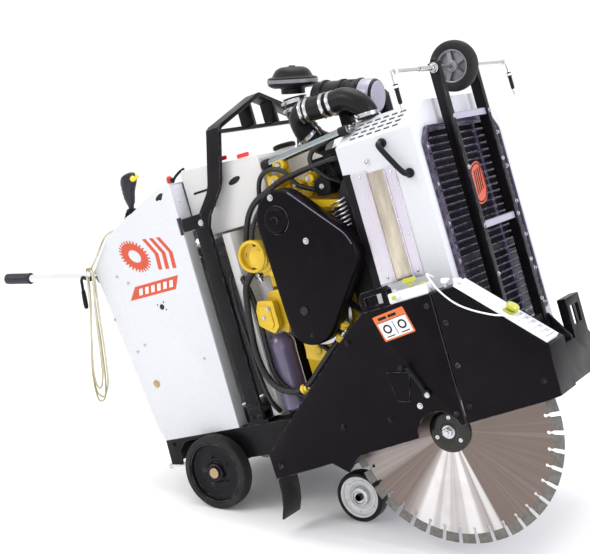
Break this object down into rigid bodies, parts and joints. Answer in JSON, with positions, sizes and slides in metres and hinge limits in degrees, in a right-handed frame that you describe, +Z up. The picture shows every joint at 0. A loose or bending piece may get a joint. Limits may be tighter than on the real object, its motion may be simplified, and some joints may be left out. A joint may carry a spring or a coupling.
{
  "type": "walk-behind concrete saw",
  "caption": "Engine-driven walk-behind saw with a guarded segmented blade at its side, a raising front carriage, sliding handles, a fold-down pointer and a lifting bail.",
  "frame": {"origin": "on the floor under the middle of the machine's bounding box, standing on its wheels with the front carriage lowered", "axes": "+X forwards towards the radiator and pointer, +Y to the left, +Z up; the blade is on the right, -Y"},
  "size_m": [2.1635, 0.8724, 1.455],
  "materials": {
    "frame_black": "semi-gloss black powder coat",
    "guard_black": "semi-gloss black powder coat on folded steel",
    "grille_black": "satin charcoal powder coat",
    "panel_white": "gloss white powder coat",
    "tank_white": "moulded white plastic",
    "tank_grey": "satin grey tank",
    "engine_yellow": "yellow engine enamel over castings",
    "exhaust_black": "heat-resistant black",
    "bright_chrome": "polished chrome",
    "stainless": "brushed stainless sheet",
    "steel": "machined steel",
    "blade_steel": "ground steel with radial brushing",
    "plastic_black": "textured black plastic",
    "plastic_grey": "satin grey housing",
    "plastic_white": "white plastic",
    "rubber": "black rubber",
    "tyre_black": "solid black tyre on a dished disc",
    "wheel_silver": "cast light-alloy wheel with a worn face",
    "radiator": "black finned core",
    "knob_yellow": "yellow plastic",
    "knob_red": "red plastic",
    "rope": "braided cream rope"
  },
  "bodies": {
    "chassis": {"base_frame": "frame_black", "front_bumper": "frame_black", "splash_flap": "rubber", "lift_bail": "frame_black", "console_side_right": "panel_white", "console_side_left": "panel_white", "console_cover": "panel_white", "fuel_tank": "tank_white", "engine_block": "engine_yellow", "cylinder_head": "engine_yellow", "muffler": "exhaust_black", "coolant_pipe": "bright_chrome", "hydraulic_tank": "tank_grey", "accessory_belt": "rubber", "blade_belt": "rubber", "belt_guard": "guard_black", "precleaner": "plastic_black", "stack_pipe": "rubber", "air_cleaner": "plastic_grey", "intake_elbow": "rubber", "radiator_housing": "panel_white", "radiator_core": "radiator", "grille": "grille_black", "side_panel": "stainless", "hood_handle": "plastic_black", "blade_guard": "guard_black", "water_manifold": "plastic_white", "shaft_carrier": "frame_black", "rope_hank": "rope", "rope_lead": "rope"},
    "rear_drive": {"rear_axle": "steel", "rear_wheel_right": "tyre_black", "rear_wheel_left": "tyre_black"},
    "front_carriage": {"front_carriage": "frame_black"},
    "front_wheel_right": {"front_wheel_right": "wheel_silver"},
    "front_wheel_left": {"front_wheel_left": "wheel_silver"},
    "lift_cylinder": {"lift_cylinder": "frame_black"},
    "lift_rod": {"lift_rod": "bright_chrome"},
    "handlebar_right": {"handlebar_right": "bright_chrome"},
    "handlebar_left": {"handlebar_left": "bright_chrome"},
    "clamp_lever_right": {"clamp_lever_right": "plastic_black"},
    "clamp_lever_left": {"clamp_lever_left": "plastic_black"},
    "joystick": {"joystick": "plastic_black"},
    "joystick_button": {"joystick_button": "knob_yellow"},
    "stop_button": {"stop_button": "knob_red"},
    "throttle_lever": {"throttle_lever": "plastic_black"},
    "blade_drive": {"blade": "blade_steel", "outer_flange": "frame_black", "arbor_bolt": "bright_chrome", "blade_shaft": "steel"},
    "crank_pulley": {"crank_pulley": "steel"},
    "fan_pulley": {"fan_pulley": "steel"},
    "pump_pulley": {"pump_pulley": "steel"},
    "guard_front": {"guard_front": "guard_black", "water_tube": "plastic_white"},
    "guard_latch": {"guard_latch": "frame_black"},
    "water_valve_knob": {"water_valve_knob": "knob_yellow"},
    "pointer_frame": {"pointer_frame": "frame_black"},
    "pointer_wheel": {"pointer_wheel": "tyre_black"},
    "pointer_rod": {"pointer_rod": "steel"}
  },
  "joints": [
    {"name": "rear_drive_spin", "type": "hinge", "parent": "chassis", "child": "rear_drive", "pos_m": [-0.12878, 0.0362, 0.12206], "axis": [0, 1, 0], "continuous": true},
    {"name": "carriage_swing", "type": "hinge", "parent": "chassis", "child": "front_carriage", "pos_m": [0.47584, 0.0362, 0.33802], "axis": [0, 1, 0], "range_deg": [0, 38]},
    {"name": "front_wheel_right_spin", "type": "hinge", "parent": "front_carriage", "child": "front_wheel_right", "pos_m": [0.35177, -0.1918, 0.07999], "axis": [0, 1, 0], "continuous": true},
    {"name": "front_wheel_left_spin", "type": "hinge", "parent": "front_carriage", "child": "front_wheel_left", "pos_m": [0.35177, 0.2642, 0.07999], "axis": [0, 1, 0], "continuous": true},
    {"name": "lift_cylinder_swing", "type": "hinge", "parent": "chassis", "child": "lift_cylinder", "pos_m": [0.06231, 0.0362, 0.24302], "axis": [0, 1, 0], "range_deg": [-15.6, 0.1]},
    {"name": "lift_rod_slide", "type": "slide", "parent": "lift_cylinder", "child": "lift_rod", "axis": [0.9442, 0, -0.3295], "range_m": [-0.1282, 0.001]},
    {"name": "handle_slide_right", "type": "slide", "parent": "chassis", "child": "handlebar_right", "axis": [-0.9977, 0, -0.068], "range_m": [-0.24, 0.06]},
    {"name": "handle_slide_left", "type": "slide", "parent": "chassis", "child": "handlebar_left", "axis": [-0.9977, 0, -0.068], "range_m": [-0.24, 0.06]},
    {"name": "clamp_lever_right_turn", "type": "hinge", "parent": "chassis", "child": "clamp_lever_right", "pos_m": [-0.64241, -0.2538, 0.72818], "axis": [0, 1, 0], "range_deg": [0, 75]},
    {"name": "clamp_lever_left_turn", "type": "hinge", "parent": "chassis", "child": "clamp_lever_left", "pos_m": [-0.64241, 0.3262, 0.72818], "axis": [0, 1, 0], "range_deg": [0, 75]},
    {"name": "joystick_tilt", "type": "hinge", "parent": "chassis", "child": "joystick", "pos_m": [-0.45988, -0.2258, 0.94725], "axis": [0, 1, 0], "range_deg": [-18, 18]},
    {"name": "joystick_button_press", "type": "slide", "parent": "joystick", "child": "joystick_button", "axis": [-0.8336, 0, -0.5524], "range_m": [0, 0.003], "stiffness_N_per_m": 400},
    {"name": "stop_button_press", "type": "slide", "parent": "chassis", "child": "stop_button", "axis": [0.5764, 0, -0.8171], "range_m": [0, 0.008], "stiffness_N_per_m": 600},
    {"name": "throttle_tilt", "type": "hinge", "parent": "chassis", "child": "throttle_lever", "pos_m": [-0.44228, -0.0238, 0.96701], "axis": [0, 1, 0], "range_deg": [-30, 25]},
    {"name": "blade_spin", "type": "hinge", "parent": "chassis", "child": "blade_drive", "pos_m": [0.73575, -0.3438, 0.38433], "axis": [0, 1, 0], "continuous": true},
    {"name": "crank_spin", "type": "hinge", "parent": "chassis", "child": "crank_pulley", "pos_m": [0.27533, -0.2438, 0.65887], "axis": [0, 1, 0], "continuous": true},
    {"name": "fan_spin", "type": "hinge", "parent": "chassis", "child": "fan_pulley", "pos_m": [0.36139, -0.2738, 0.85817], "axis": [0, 1, 0], "continuous": true},
    {"name": "pump_spin", "type": "hinge", "parent": "chassis", "child": "pump_pulley", "pos_m": [0.17203, -0.2738, 0.95726], "axis": [0, 1, 0], "continuous": true},
    {"name": "guard_front_lift", "type": "hinge", "parent": "chassis", "child": "guard_front", "pos_m": [0.71554, -0.3488, 0.79318], "axis": [0, -1, 0], "range_deg": [0, 95]},
    {"name": "guard_latch_turn", "type": "hinge", "parent": "chassis", "child": "guard_latch", "pos_m": [0.69739, -0.4098, 0.50345], "axis": [0, 1, 0], "range_deg": [0, 60]},
    {"name": "water_valve_turn", "type": "hinge", "parent": "chassis", "child": "water_valve_knob", "pos_m": [0.64419, -0.3798, 0.80811], "axis": [-0.2605, 0, 0.9655], "range_deg": [0, 90]},
    {"name": "pointer_fold", "type": "hinge", "parent": "chassis", "child": "pointer_frame", "pos_m": [0.81872, 0.0362, 0.57969], "axis": [0, 1, 0], "range_deg": [0, 110]},
    {"name": "pointer_wheel_spin", "type": "hinge", "parent": "pointer_frame", "child": "pointer_wheel", "pos_m": [0.60302, 0.0362, 1.3791], "axis": [0, 1, 0], "continuous": true},
    {"name": "pointer_rod_slide", "type": "slide", "parent": "pointer_frame", "child": "pointer_rod", "axis": [0, 1, 0], "range_m": [-0.05, 0.05]}
  ],
  "couplings": [
    {"joint": "lift_cylinder_swing", "follows": "carriage_swing", "ratio": -0.40493},
    {"joint": "lift_rod_slide", "follows": "carriage_swing", "m_per_rad": -0.19322},
    {"joint": "crank_spin", "follows": "blade_spin", "ratio": 0.875},
    {"joint": "fan_spin", "follows": "blade_spin", "ratio": 0.95455},
    {"joint": "pump_spin", "follows": "blade_spin", "ratio": 0.95455}
  ]
}
